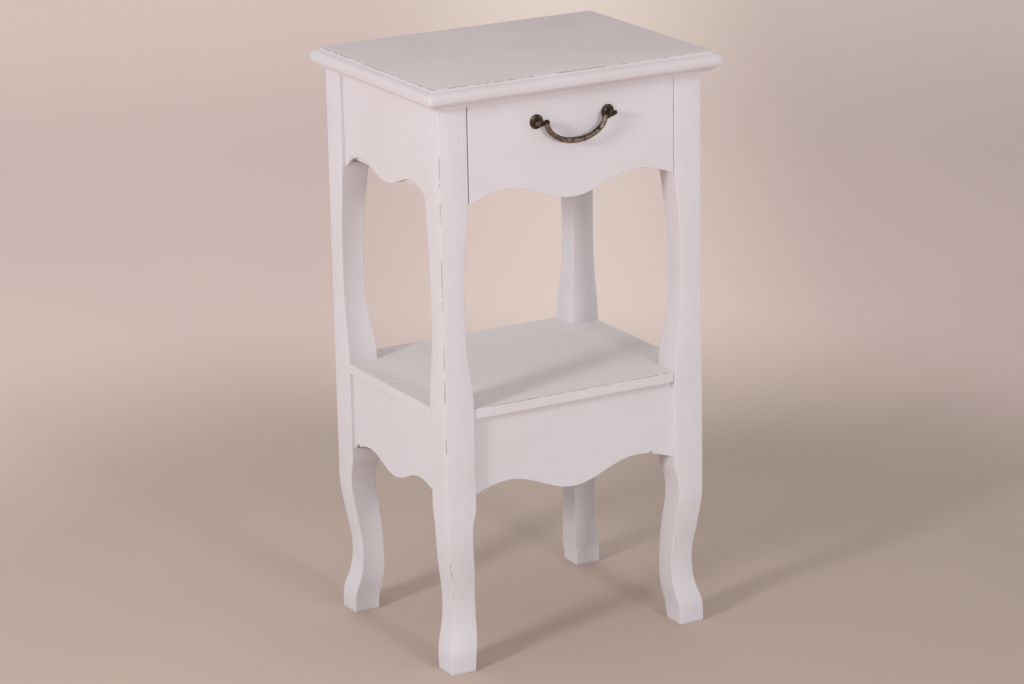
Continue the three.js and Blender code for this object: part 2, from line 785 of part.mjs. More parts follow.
const drawerSideSection = outline([
  [boxInside, boxFloor],
  [boxHalf, boxFloor],
  [boxHalf, boxTop],
  [boxInside, boxTop],
  [boxInside, grooveTop],
  [bottomHalf + GLUE_LINE, grooveTop],
  [bottomHalf + GLUE_LINE, grooveFloor],
  [boxInside, grooveFloor],
]);
for (const [hand, side] of hands) {
  const board = prism("y", drawerSideSection, drawerBack + GLUE_LINE, boxBack);
  piece("drawer_side_" + hand, "pine", board, drawer).scale.x = side;
}
const backHalf = boxInside - GLUE_LINE;
piece(
  "drawer_back",
  "pine",
  block([-backHalf, backHalf], [boxBack - BOX_BOARD, boxBack], [grooveTop, boxTop]),
  drawer,
);
piece(
  "drawer_bottom",
  "plywood",
  block(
    [-bottomHalf, bottomHalf],
    [drawerBack - GROOVE_DEPTH, boxBack],
    [bottomFloor, bottomTop],
  ),
  drawer,
);

// Handle: each post stands on a domed rosette and is held by a screw from inside the drawer
const rosetteSection = [
  [screwHole, GLUE_LINE],
  [ROSETTE_RADIUS, GLUE_LINE],
  [ROSETTE_RADIUS, ROSETTE_RIM],
  ...rosetteShares.map(([out, up]) => [
    out * ROSETTE_RADIUS,
    ROSETTE_RIM + up * (ROSETTE_THICKNESS - ROSETTE_RIM),
  ]),
  [screwHole, ROSETTE_THICKNESS],
  [screwHole, GLUE_LINE],
];
const postBase = ROSETTE_THICKNESS + GLUE_LINE;
const ballStart = Math.asin(STEM_RADIUS / BALL_RADIUS);
const ballEnd = Math.PI - Math.asin(NUB_RADIUS / BALL_RADIUS);
const ballSteps = ROUND_SIDES / 2;
const ball = [];
for (let i = 0; i <= ballSteps; i += 1) {
  const angle = ballStart + ((ballEnd - ballStart) * i) / ballSteps;
  ball.push([
    BALL_RADIUS * Math.sin(angle),
    PIVOT_REACH - BALL_RADIUS * Math.cos(angle),
  ]);
}
const nubRound = NUB_RADIUS / 2;
const postProfile = [
  [0, postBase],
  [STEM_RADIUS, postBase],
  ...ball,
  [NUB_RADIUS, NUB_REACH - nubRound],
  [NUB_RADIUS - nubRound / 2, NUB_REACH - nubRound / 2],
  [NUB_RADIUS - nubRound, NUB_REACH],
  [0, NUB_REACH],
];
const postHoleEnd = postBase + HANDLE_SCREW_BITE + GLUE_LINE;
const eyeReach = BALL_RADIUS + OVERRUN;
const postHole = turned(
  [
    [0, postBase - OVERRUN],
    [screwHole, postBase - OVERRUN],
    [screwHole, postHoleEnd],
    [0, postHoleEnd],
  ],
  SCREW_SIDES,
);
const eye = turned(
  [
    [0, -eyeReach],
    [eyeRadius, -eyeReach],
    [eyeRadius, eyeReach],
    [0, eyeReach],
  ],
  ROUND_SIDES,
);
eye.rotateY(Math.PI / 2);
eye.translate(0, 0, PIVOT_REACH);
const post = toSolid(turned(postProfile, ROUND_SIDES))
  .subtract(toSolid(postHole))
  .subtract(toSolid(eye));
const machineScrewLength =
  DRAWER_FRONT_THICKNESS + GLUE_LINE + postBase + HANDLE_SCREW_BITE;
for (const [hand, x] of postPlaces) {
  const mount = new THREE.Group();
  mount.position.set(x, drawerFace, handleHeight);
  mount.rotation.x = Math.PI / 2;
  drawer.add(mount);
  piece("handle_rosette_" + hand, "brass", turned(rosetteSection, ROUND_SIDES), mount);
  piece("handle_post_" + hand, "brass", toGeometry(post), mount);
  const screwBase = -DRAWER_FRONT_THICKNESS - GLUE_LINE - SCREW_HEAD_HEIGHT;
  const held = machineScrew(machineScrewLength);
  piece("handle_screw_" + hand, "steel", held, mount).position.z = screwBase;
}

// Bail: a rod bent to half an oval, hung on a pin at each end, with a swelling in the middle
const bailPoints = [];
for (let i = 0; i <= BAIL_STEPS; i += 1) {
  const angle = (Math.PI * i) / BAIL_STEPS;
  const x = -bailHalf * Math.cos(angle);
  bailPoints.push(new THREE.Vector3(x, 0, -BAIL_DROP * Math.sin(angle)));
}
const rodSection = new THREE.Shape();
rodSection.absarc(0, 0, ROD_RADIUS, 0, Math.PI * 2, false);
const rod = new THREE.ExtrudeGeometry(rodSection, {
  steps: BAIL_STEPS,
  curveSegments: SCREW_SIDES / 2,
  extrudePath: new THREE.CatmullRomCurve3(bailPoints),
});

// A turned piece laid along X with its middle at a place in the plane of the bail
function laid(profile, tilt, x, z) {
  const geometry = turned(profile, ROUND_SIDES);
  geometry.rotateY(Math.PI / 2 + tilt);
  geometry.translate(x, 0, z);
  return toSolid(geometry);
}

const gripEnd = GRIP_LENGTH / 2;
const gripSteps = CURVE_SEGMENTS;
const grip = [[0, -gripEnd]];
for (let i = -gripSteps; i <= gripSteps; i += 1) {
  const swell = (1 + Math.cos((Math.PI * i) / gripSteps)) / 2;
  const radius = ROD_RADIUS + (GRIP_RADIUS - ROD_RADIUS) * swell;
  grip.push([radius, (gripEnd * i) / gripSteps]);
}
grip.push([0, gripEnd]);
const collarEnd = COLLAR_LENGTH / 2;
const collarRim = COLLAR_LENGTH / 4;
const collar = [
  [0, -collarEnd],
  [COLLAR_RADIUS - collarRim, -collarEnd],
  [COLLAR_RADIUS, -collarRim],
  [COLLAR_RADIUS, collarRim],
  [COLLAR_RADIUS - collarRim, collarEnd],
  [0, collarEnd],
];
const collarTurn = Math.asin(gripEnd / bailHalf);
const collarTilt = Math.atan2(
  BAIL_DROP * Math.sin(collarTurn),
  bailHalf * Math.cos(collarTurn),
);
const pinShoulder = POST_SPACING / 2 + BALL_RADIUS + BALL_GAP;
const pin = [
  [0, bailHalf],
  [PIN_RADIUS, bailHalf],
  [PIN_RADIUS, pinShoulder],
  [PIN_HEAD_RADIUS, pinShoulder],
  [PIN_HEAD_RADIUS, pinShoulder + PIN_HEAD_LENGTH],
  [0, pinShoulder + PIN_HEAD_LENGTH],
];
let bail = toSolid(rod).add(laid(grip, 0, 0, -BAIL_DROP));
for (const [, side] of hands) {
  const knuckle = new THREE.SphereGeometry(KNUCKLE_RADIUS, ROUND_SIDES, ROUND_SIDES / 2);
  knuckle.translate(side * bailHalf, 0, 0);
  const pinTurn = side > 0 ? 0 : Math.PI;
  bail = bail
    .add(toSolid(knuckle))
    .add(laid(pin, pinTurn, 0, 0))
    .add(
      laid(
        collar,
        -side * collarTilt,
        side * gripEnd,
        -BAIL_DROP * Math.cos(collarTurn),
      ),
    );
}
const handleBail = piece("handle_bail", "brass", toGeometry(bail), drawer);
handleBail.position.set(0, drawerFace - PIVOT_REACH, handleHeight);

export default table;
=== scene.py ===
# %% [markdown]
# # A small white side table
#
# The real object is a slim painted table with one drawer, a shelf near its middle and
# four curved legs sawn from thick board. Its solids already exist: they were drawn in a
# CAD program and they carry the drawer and the hanging handle. This lesson dresses them.
# Each piece gets soft edges, brushed paint, a little wear and metal that has darkened,
# and no piece leaves the place that its solid gives it.

import json
import math

import bmesh
import bpy
from mathutils import Matrix, Vector
from mathutils.bvhtree import BVHTree


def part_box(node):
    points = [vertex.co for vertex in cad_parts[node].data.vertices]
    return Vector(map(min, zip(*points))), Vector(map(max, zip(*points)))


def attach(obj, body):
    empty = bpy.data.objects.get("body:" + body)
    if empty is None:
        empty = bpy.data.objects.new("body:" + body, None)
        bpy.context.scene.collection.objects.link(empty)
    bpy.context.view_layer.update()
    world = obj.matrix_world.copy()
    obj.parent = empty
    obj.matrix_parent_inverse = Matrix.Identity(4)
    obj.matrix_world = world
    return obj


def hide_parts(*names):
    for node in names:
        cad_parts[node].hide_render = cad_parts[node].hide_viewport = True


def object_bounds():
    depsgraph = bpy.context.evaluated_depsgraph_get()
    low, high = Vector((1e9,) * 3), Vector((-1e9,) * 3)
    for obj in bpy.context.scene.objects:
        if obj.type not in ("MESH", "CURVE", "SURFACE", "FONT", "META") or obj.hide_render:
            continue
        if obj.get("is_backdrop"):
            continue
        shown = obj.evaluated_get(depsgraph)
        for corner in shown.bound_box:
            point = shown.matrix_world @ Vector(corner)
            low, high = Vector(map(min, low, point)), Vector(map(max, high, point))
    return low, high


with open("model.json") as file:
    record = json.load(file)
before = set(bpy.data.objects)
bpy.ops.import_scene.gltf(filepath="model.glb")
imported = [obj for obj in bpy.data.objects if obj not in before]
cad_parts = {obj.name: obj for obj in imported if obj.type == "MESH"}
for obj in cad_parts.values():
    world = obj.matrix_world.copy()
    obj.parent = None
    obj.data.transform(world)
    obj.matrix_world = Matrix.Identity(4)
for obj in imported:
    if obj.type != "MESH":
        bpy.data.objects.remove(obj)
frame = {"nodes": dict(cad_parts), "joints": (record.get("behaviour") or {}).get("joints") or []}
solid_low, solid_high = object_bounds()
print("The plain solids measure", [round(1000 * side, 1) for side in solid_high - solid_low], "mm")

# %% [markdown]
# ## The viewpoint
#
# The photograph looks down at the table from its left front corner, with a long lens
# from a few metres away, so that upright lines stay almost parallel. Blender could aim a
# camera with a Track To constraint. The three directions of the picture are written out
# instead, because the photographer also held the camera a little crooked.

# %% Viewpoint
picture_right = Vector((0.87146, -0.49007, -0.01960))
picture_up = Vector((0.15637, 0.23974, 0.95816))
picture_ahead = Vector((0.46487, 0.83807, -0.28556))
viewpoint_place = Vector((-2.12226, -3.80387, 1.65337))

lens = bpy.data.cameras.new("viewpoint")
lens.sensor_width = 36
lens.lens = 131.088
lens.clip_end = 60
viewpoint = bpy.data.objects.new("viewpoint", lens)
bpy.context.scene.collection.objects.link(viewpoint)
turn = Matrix((picture_right, picture_up, -picture_ahead)).transposed()
viewpoint.matrix_world = Matrix.Translation(viewpoint_place) @ turn.to_4x4()
bpy.context.scene.camera = viewpoint
print("The viewpoint stands", round(viewpoint_place.length, 2), "m from the table")

# %% [markdown]
# ## Light
#
# Two soft lamps stand ten to fifteen degrees above the top of the table, as in a small
# studio: one to its left, and one straight in front of it. The faint shadows of the feet
# in the photograph point away from them. Low lamps light the upright faces more than the
# flat ones, which is why the top and the shelf look greyer than the sides. Point lamps
# would throw hard shadows, so each lamp is a disk, and the world adds an even fill.

# %% Soft lamps and an even fill
lamp_aim = Vector((0, 0, 0.4))


def soft_lamp(name, place, width, power):
    lamp = bpy.data.lights.new(name, "AREA")
    lamp.shape = "DISK"
    lamp.size = width
    lamp.energy = power
    holder = bpy.data.objects.new(name, lamp)
    bpy.context.scene.collection.objects.link(holder)
    holder.location = place
    look = lamp_aim - Vector(place)
    holder.rotation_euler = look.to_track_quat("-Z", "Y").to_euler()


soft_lamp("lamp_left", (-3.1, -1.13, 1.6), width=0.6, power=49)
soft_lamp("lamp_front", (0.1, -3.3, 1.28), width=0.5, power=26.5)

bpy.context.scene.view_settings.view_transform = "Standard"
fill = bpy.data.worlds.new("even_fill")
fill.use_nodes = True
sky = fill.node_tree.nodes["Background"]
sky.inputs["Color"].default_value = (1, 1, 1, 1)
sky.inputs["Strength"].default_value = 0.575
bpy.context.scene.world = fill
print("Two lamps and a fill of", round(sky.inputs["Strength"].default_value, 3))

# %% [markdown]
# ## Colours
#
# Paint charts and photographs give colours as three numbers from 0 to 255. A shader works
# with amounts of light, which grow faster than those numbers. One small function turns
# the first into the second, so that every colour in this lesson can be read off a chart.

# %% Colours from a chart
def chart_colour(red, green, blue):
    shares = [value / 255 for value in (red, green, blue)]
    light = [s / 12.92 if s <= 0.04045 else ((s + 0.055) / 1.055) ** 2.4 for s in shares]
    return (*light, 1.0)


middle_grey = chart_colour(128, 128, 128)
print("The chart's middle grey sends back", round(middle_grey[0], 3), "of the light")

# %% [markdown]
# ## Shader groups
#
# Several finishes share the same effects, so each effect is built once as a group of
# nodes with named inputs. Every group puts out the same three things: a colour, a
# roughness and a height. The shader itself stays in the material. The helpers below open
# and close a group and add one node to it.

# %% Helpers for node groups
group_outputs = (("Color", "Color"), ("Roughness", "Float"), ("Height", "Float"))


def open_group(name, inputs):
    group = bpy.data.node_groups.new(name, "ShaderNodeTree")
    new_socket = group.interface.new_socket
    for label, kind, value in inputs:
        socket = new_socket(label, in_out="INPUT", socket_type="NodeSocket" + kind)
        socket.default_value = value
    for label, kind in group_outputs:
        new_socket(label, in_out="OUTPUT", socket_type="NodeSocket" + kind)
    return group, group.nodes.new("NodeGroupInput"), group.nodes.new("NodeGroupOutput")


def close_group(group, out, *values):
    for (label, kind), value in zip(group_outputs, values):
        group.links.new(value, out.inputs[label])


def add_node(tree, kind, wires=(), **settings):
    made = tree.nodes.new("ShaderNode" + kind)
    for setting, value in settings.items():
        setattr(made, setting, value)
    for socket, value in dict(wires).items():
        if isinstance(value, bpy.types.NodeSocket):
            tree.links.new(value, made.inputs[socket])
        else:
            made.inputs[socket].default_value = value
    return made


print("Every group puts out", [label for label, kind in group_outputs])

# %% [markdown]
# Most nodes of these groups are of a few kinds, so each kind gets a short name of its
# own. The two stored numbers and the stretched position are needed in several groups.

# %% Helpers for the usual nodes
def noise(tree, where, scale, detail=2.0, roughness=0.5):
    made = add_node(
        tree,
        "TexNoise",
        {"Vector": where, "Scale": scale, "Detail": detail, "Roughness": roughness},
    )
    return made.outputs["Fac"]


def sums(tree, operation, first, second=0.0, third=0.0):
    made = add_node(tree, "Math", {0: first, 1: second, 2: third}, operation=operation)
    return made.outputs[0]


def smooth_step(tree, value, start, end, low=0.0, high=1.0):
    made = add_node(
        tree,
        "MapRange",
        {"Value": value, "From Min": start, "From Max": end, "To Min": low, "To Max": high},
        interpolation_type="SMOOTHSTEP",
    )
    return made.outputs["Result"]


def blend_colours(tree, share, first, second, how="MIX"):
    wires = {0: share, 6: first, 7: second}
    return add_node(tree, "Mix", wires, data_type="RGBA", blend_type=how).outputs[2]


def position(tree):
    return add_node(tree, "TexCoord").outputs["Object"]


def stretched(tree, place, stretch):
    return add_node(tree, "VectorMath", {0: place, 1: stretch}, operation="MULTIPLY").outputs[0]


def stored(tree, label):
    return add_node(tree, "Attribute", attribute_name=label).outputs["Fac"]


print("Helpers for node groups are ready")

# %% [markdown]
# ## Brushed paint
#
# The table wears a satin white paint, put on with a brush along each board. Seen close it
# has faint strokes, a slow change from thick to thin paint, and a fine stipple. Along the
# sharp edges it has been rubbed off in short dashes, and the dark old finish shows. An
# image texture could hold all this, but it would stop at one size. Noise nodes give the
# same marks at any distance, and two numbers stored in the mesh say where they go: the
# first, "arris", is 1 on the edge itself, and the second tells how much that place was
# handled. Every sharp edge is also a little darker, a painted shade that dulls the light
# its round edge catches, on top of grime near the worn places. Faces that look up may
# take a tone of their own, which is painted light and shade between level and upright
# faces. Three small marks near the scallops are spots in space, each with a ragged border:
# two are chips, and the first, under the upper left arch, is partly worn paint and partly
# painted shade.

# %% Group: brushed paint
chips_and_shade_patch = (  # the place, the size and the depth of each
    # the first spot, on the back left leg under the upper arch, is partly worn paint and partly
    # painted shade
    ((-0.160, 0.097, 0.5835), 0.0185, 0.75),
    ((-0.1715, 0.105, 0.2193), 0.0085, 1.0),
    ((0.108, -0.1245, 0.2275), 0.0046, 0.5),
)
thin_tint = (0.955, 0.94, 0.93, 1)
# grime near worn paint, and painted shade along every edge
grime_and_edge_shade_colour = (0.42, 0.36, 0.33, 1)


def build_brushed_paint():
    group, given, out = open_group(
        "brushed_paint",
        [
            ("Paint", "Color", (0.8, 0.8, 0.8, 1)),
            # the tone of faces that look up: painted light and shade
            ("Level", "Color", (0.7, 0.7, 0.7, 1)),
            ("Under", "Color", (0.1, 0.08, 0.06, 1)),
            ("Brush", "Vector", (1, 1, 1)),
        ],
    )
    place = position(group)
    along = stretched(group, place, given.outputs["Brush"])
    arris = stored(group, "arris")
    rubbed_and_painted_highlight = stored(group, "rubbed_and_painted_highlight")
    strokes = noise(group, along, 1.0, 4.0, 0.6)
    cloud = noise(group, place, 7.0, 3.0)
    stipple = noise(group, place, 850.0, 1.0)
    dashes = noise(group, place, 95.0, 3.0, 0.6)
    crumbs = noise(group, place, 420.0, 3.0, 0.7)

    facing = add_node(group, "TexCoord").outputs["Normal"]
    upward = add_node(group, "SeparateXYZ", {0: facing}).outputs["Z"]
    # painted light and shade: faces that look up take their own tone
    looks_up = smooth_step(group, upward, 0.8, 0.98)
    paint_and_level_light = blend_colours(group, looks_up, given.outputs["Paint"], given.outputs["Level"])
    thin = smooth_step(group, cloud, 0.36, 0.68, 0.0, 0.75)
    thinner = blend_colours(group, 1.0, paint_and_level_light, thin_tint, "MULTIPLY")
    coat = blend_colours(group, thin, paint_and_level_light, thinner)
    streak = smooth_step(group, strokes, 0.3, 0.72, 0.0, 0.32)
    coat = blend_colours(group, streak, coat, thinner)

    ragged = sums(group, "MULTIPLY_ADD", dashes, 2.4, -1.2)
    bare = sums(group, "MULTIPLY", arris, sums(group, "ADD", rubbed_and_painted_highlight, ragged))
    chipped_and_shade_patch = smooth_step(group, bare, 0.4, 0.62)
    for spot, size, depth in chips_and_shade_patch:
        apart = add_node(group, "VectorMath", {0: place, 1: spot}, operation="DISTANCE")
        ragged_apart = sums(group, "MULTIPLY_ADD", crumbs, -size, apart.outputs["Value"])
        spot_share = smooth_step(group, ragged_apart, 0.35 * size, 0.0, 0.0, depth)
        chipped_and_shade_patch = sums(group, "MAXIMUM", chipped_and_shade_patch, spot_share)
    grime_and_edge_shade = smooth_step(group, bare, 0.15, 0.6, 0.0, 0.12)
    # painted shade: every arris is a little darker, which dulls the light its round edge catches
    grime_and_edge_shade = sums(group, "MULTIPLY_ADD", arris, 0.1, grime_and_edge_shade)
    coat = blend_colours(group, grime_and_edge_shade, coat, grime_and_edge_shade_colour)
    coat = blend_colours(group, chipped_and_shade_patch, coat, given.outputs["Under"])

    rough = sums(group, "MULTIPLY_ADD", strokes, 0.14, 0.46)
    rough = sums(group, "MULTIPLY_ADD", chipped_and_shade_patch, 0.25, rough)
    rough = sums(group, "MULTIPLY_ADD", arris, 0.2, rough)
    relief = sums(group, "MULTIPLY_ADD", stipple, 0.35, strokes)
    relief = sums(group, "MULTIPLY_ADD", chipped_and_shade_patch, -1.2, relief)
    close_group(group, out, coat, rough, relief)
    return group


brushed_paint = build_brushed_paint()
print("brushed_paint holds", len(brushed_paint.nodes), "nodes")

# %% [markdown]
# ## Bare wood
#
# The drawer box and the strips under the boards were never painted. Softwood shows broad
# pale bands between narrow darker ones, which run along the board and wander a little.
# Wave Texture bands would be too even. A slow noise, stretched along the board, goes
# through a sine instead, and a much finer noise adds the fibres. The group takes the
# direction of the board as that stretch, so that it serves boards that lie along any
# axis, and plywood too.

# %% Group: wood grain
def build_wood_grain():
    group, given, out = open_group(
        "wood_grain",
        [
            ("Pale", "Color", (0.6, 0.4, 0.2, 1)),
            ("Dark", "Color", (0.3, 0.2, 0.1, 1)),
            ("Board", "Vector", (1, 1, 1)),
            ("Bands", "Float", 30.0),
        ],
    )
    along = stretched(group, position(group), given.outputs["Board"])
    wander = noise(group, along, 9.0, 2.0)
    rings = sums(group, "MULTIPLY", wander, given.outputs["Bands"])
    rings = sums(group, "SINE", rings)
    bands = smooth_step(group, rings, 0.1, 1.0)
    fibres = noise(group, along, 240.0, 3.0, 0.7)
    arris = stored(group, "arris")

    shade = sums(group, "MULTIPLY_ADD", fibres, 0.35, -0.1)
    shade = sums(group, "MULTIPLY_ADD", bands, 0.55, shade)
    wood = blend_colours(group, shade, given.outputs["Pale"], given.outputs["Dark"])
    touched = sums(group, "MULTIPLY", arris, 0.28)
    wood = blend_colours(group, touched, wood, given.outputs["Dark"])
    rough = sums(group, "MULTIPLY_ADD", fibres, 0.22, 0.5)
    relief = sums(group, "MULTIPLY_ADD", bands, 0.3, fibres)
    close_group(group, out, wood, rough, relief)
    return group


wood_grain = build_wood_grain()
print("wood_grain holds", len(wood_grain.nodes), "nodes")

# %% [markdown]
# ## Aged metal
#
# The handle is brass that was darkened on purpose and then rubbed back. It is almost
# black in the hollows and around the foot of each post, and a paler brown where fingers
# polish it; on the rod part of that paler brown is a painted highlight. The same group with
# greyer colours makes the zinc of the screws. The polish again comes from a number stored
# in the mesh, and noise breaks up its border so that the polish looks uneven.

# %% Group: aged metal
def build_aged_metal():
    group, given, out = open_group(
        "aged_metal",
        [
            ("Bright", "Color", (0.6, 0.5, 0.3, 1)),
            ("Dark", "Color", (0.03, 0.02, 0.02, 1)),
            ("Polish", "Float", 0.2),
            ("Grain", "Float", 900.0),
        ],
    )
    place = position(group)
    rubbed_and_painted_highlight = stored(group, "rubbed_and_painted_highlight")
    patches = noise(group, place, 260.0, 3.0, 0.6)
    grains = noise(group, place, given.outputs["Grain"], 2.0, 0.6)
    polish = sums(group, "ADD", rubbed_and_painted_highlight, given.outputs["Polish"])
    uneven = sums(group, "MULTIPLY_ADD", patches, 1.5, -0.75)
    shine = smooth_step(group, sums(group, "ADD", polish, uneven), 0.15, 0.85)
    skin = blend_colours(group, shine, given.outputs["Dark"], given.outputs["Bright"])
    rough = sums(group, "MULTIPLY_ADD", shine, -0.22, 0.5)
    rough = sums(group, "MULTIPLY_ADD", grains, 0.14, rough)
    relief = sums(group, "MULTIPLY_ADD", grains, 0.3, patches)
    close_group(group, out, skin, rough, relief)
    return group


aged_metal = build_aged_metal()
print("aged_metal holds", len(aged_metal.nodes), "nodes")

# %% [markdown]
# ## Finishes
#
# A finish is one material: a Principled shader, one of the groups with its own values,
# and a Bump node that turns the group's height into tiny relief. The numbers that are
# the same all over the surface, such as how metallic it is, sit on the shader itself.

# %% Helper: a finish
def finish(name, group, values, relief, metallic=0.0, **constants):
    made = bpy.data.materials.new(name)
    made.use_nodes = True
    tree = made.node_tree
    shader = tree.nodes["Principled BSDF"]
    shader.inputs["Metallic"].default_value = metallic
    for label, value in constants.items():
        shader.inputs[label.replace("_", " ")].default_value = value
    effect = tree.nodes.new("ShaderNodeGroup")
    effect.node_tree = group
    for label, value in values.items():
        effect.inputs[label].default_value = value
    wires = {"Height": effect.outputs["Height"], "Distance": relief, "Strength": 0.45}
    bump = add_node(tree, "Bump", wires)
    tree.links.new(effect.outputs["Color"], shader.inputs["Base Color"])
    tree.links.new(effect.outputs["Roughness"], shader.inputs["Roughness"])
    tree.links.new(bump.outputs["Normal"], shader.inputs["Normal"])
    return made


print("A finish takes one of", sorted(group.name for group in bpy.data.node_groups))

# %% [markdown]
# The paint comes in five ways. They differ in the direction of the brush, which is a
# stretch along one axis, and in the tone of the upright and of the level faces. These
# tones are painted light and shade: the upright faces round the top are a darker white,
# and the level face of the shelf is a lighter one.

# %% Paint
fine, long = 420, 16
white_paint = chart_colour(220, 215, 220)
# painted shade: the upright faces round the top are the white, darkened
nose_paint_painted_shade = chart_colour(216, 209, 213)
top_paint = chart_colour(229, 214, 214)
# painted light: the level face of the shelf is the white, lightened
shelf_paint_painted_light = chart_colour(235, 227, 228)
old_finish = chart_colour(122, 110, 106)
paint_ways = {
    "upright": ((fine, fine, long), white_paint, white_paint),
    "across": ((long, fine, fine), white_paint, white_paint),
    "deep": ((fine, long, fine), white_paint, white_paint),
    "top": ((long, fine, fine), nose_paint_painted_shade, top_paint),
    "shelf": ((long, fine, fine), white_paint, shelf_paint_painted_light),
}
paint = {
    way: finish(
        "satin_paint_" + way,
        brushed_paint,
        {"Paint": upright, "Level": level_painted_light, "Under": old_finish, "Brush": brush},
        relief=0.00012,
        Specular_IOR_Level=0.25,
    )
    for way, (brush, upright, level_painted_light) in paint_ways.items()
}
print("Ways of painting:", sorted(paint))

# %% [markdown]
# Pine boards lie across the table or run from front to back, and the plywood is one
# sheet. Brass and zinc differ in their two colours and in how much of them is polished.

# %% Wood and metal
pine = {
    way: finish(
        "bare_pine_" + way,
        wood_grain,
        {
            "Pale": chart_colour(224, 203, 172),
            "Dark": chart_colour(182, 148, 108),
            "Board": board,
            "Bands": 95.0,
        },
        relief=0.0002,
    )
    for way, board in {"across": (0.06, 1, 1), "deep": (1, 0.06, 1)}.items()
}
plywood = finish(
    "thin_plywood",
    wood_grain,
    {
        "Pale": chart_colour(208, 186, 154),
        "Dark": chart_colour(176, 146, 110),
        "Board": (1, 0.1, 1),
        "Bands": 42.0,
    },
    relief=0.00015,
)
brass = finish(
    "darkened_brass",
    aged_metal,
    {
        "Bright": chart_colour(156, 138, 124),
        "Dark": chart_colour(61, 48, 42),
        "Polish": 0.02,
        "Grain": 1500.0,
    },
    relief=0.00006,
    metallic=0.9,
)
zinc = finish(
    "dull_zinc",
    aged_metal,
    {
        "Bright": chart_colour(178, 178, 176),
        "Dark": chart_colour(120, 120, 120),
        "Polish": 0.35,
        "Grain": 1200.0,
    },
    relief=0.00005,
    metallic=1.0,
)
print("Finishes:", sorted(material.name for material in bpy.data.materials))

# %% [markdown]
# ## Places that were rubbed
#
# Hands, shoes and other furniture wear the same few edges: the outer corner of the front
# leg that faces the room, the back corner behind it, the edge of the raised top and the
# front of the shelf. Painting this by hand would be lost when a mesh is rebuilt. Each
# place is written down as a short line in space instead, with the strength of the wear,
# and every vertex asks how close it is to one of them.

# %% Rubbed places
MM = 0.001
LEG_SIDE, LEG_FRONT, LEG_BACK = 177, -132.75, 153.25  # outer faces of the legs
TABLE_TOP = 720
FADE = 0.004  # the wear ends this many metres past the end of its line

front_corner = (-LEG_SIDE, LEG_FRONT)
back_corner = (-LEG_SIDE, LEG_BACK)
rubbed_lines = [
    (front_corner, low, high, 16, 0.75)
    for low, high in (
        (603, 637),
        (558, 584),
        (456, 516),
        (381, 420),
        (334, 371),
        (270, 310),
        (117, 148),
        (92, 98),
    )
]
rubbed_lines += [(back_corner, 361, 482, 16, 0.62), (back_corner, 80, 114, 16, 0.7)]
rubbed_lines = [
    (Vector((x, y, low)) * MM, Vector((x, y, high)) * MM, reach * MM, strength)
    for (x, y), low, high, reach, strength in rubbed_lines
]
rubbed_lines += [
    (Vector(a) * MM, Vector(b) * MM, reach * MM, strength)
    for a, b, reach, strength in (
        ((-189, -144, TABLE_TOP), (-189, 144, TABLE_TOP), 3, 0.62),
        ((-189, -144.7, TABLE_TOP), (40, -144.7, TABLE_TOP), 3, 0.55),
        ((40, -144.7, TABLE_TOP), (189, -144.7, TABLE_TOP), 3, 0.36),
        ((189, -144, TABLE_TOP), (189, 144, TABLE_TOP), 3, 0.05),
        ((-112, -130.7, 327.5), (132, -130.7, 327.5), 3, 0.6),
    )
]


def rubbed_here(point):
    most = 0.0
    for start, end, reach, strength in rubbed_lines:
        length = (end - start).length
        ahead = (point - start).dot(end - start) / length
        aside = (point - start - (end - start) * (ahead / length)).length
        past = max(-ahead, ahead - length, 0.0)
        if aside < reach and past < FADE:
            most = max(most, strength * (1 - past / FADE))
    return most


print("Rubbed places:", len(rubbed_lines))

# %% [markdown]
# ## Boards with soft edges
#
# A real board has no razor edge: sandpaper and paint leave it about a millimetre round,
# and that round edge catches the light. A Bevel modifier could do it, but it would also
# round the seams of the drilled holes. Here the solid's mesh is copied, its triangles are
# merged into faces, and the sharp outer edges alone are bevelled.
#
# Whatever its shape, each new piece rides on the body that its solid belongs to, replaces
# that solid and says what it is made of. dress() does this for all of them.

# %% Helpers: from a form to a dressed piece
def mesh_from(form, name, sharp_degrees):
    """The form as a smooth mesh, but sharp where its faces meet at more than this angle."""
    mesh = bpy.data.meshes.new(name)
    form.to_mesh(mesh)
    form.free()
    mesh.shade_smooth()
    mesh.set_sharp_from_angle(angle=math.radians(sharp_degrees))
    return mesh


def store_wear(mesh):
    values = [rubbed_here(vertex.co) for vertex in mesh.vertices]
    mesh.attributes.new("rubbed_and_painted_highlight", "FLOAT", "POINT").data.foreach_set("value", values)


def dress(name, mesh, body, slot, material, nodes):
    mesh.materials.clear()
    mesh.materials.append(material)
    piece = bpy.data.objects.new(name, mesh)
    bpy.context.scene.collection.objects.link(piece)
    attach(piece, body)
    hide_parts(*nodes)
    return piece


print("mesh_from(), store_wear() and dress() are ready")

# %% [markdown]
# A board may need three small changes before its edges are rounded. Where boards were
# glued, the paint bridges the joint, so a joined board reaches a little further in there.
# The drawer front has swollen since it was made, so its two ends may grow outwards. And
# wear that comes and goes along an edge needs points there, so a board may be cut across.

# %% Helpers: joints, ends and cuts
SAME_PLACE = 1e-5  # two points nearer than this, in metres, lie in the same plane
GLUE_REACH = 0.2  # millimetres


def outer_sides(form):
    """Faces that stand upright, each with True where it lies on the outside of the board."""
    low = [min(vertex.co[axis] for vertex in form.verts) for axis in range(3)]
    high = [max(vertex.co[axis] for vertex in form.verts) for axis in range(3)]
    for face in form.faces:
        for axis in (0, 1):
            if abs(face.normal[axis]) > 0.999:
                limit = high[axis] if face.normal[axis] > 0 else low[axis]
                yield face, abs(face.calc_center_median()[axis] - limit) < SAME_PLACE


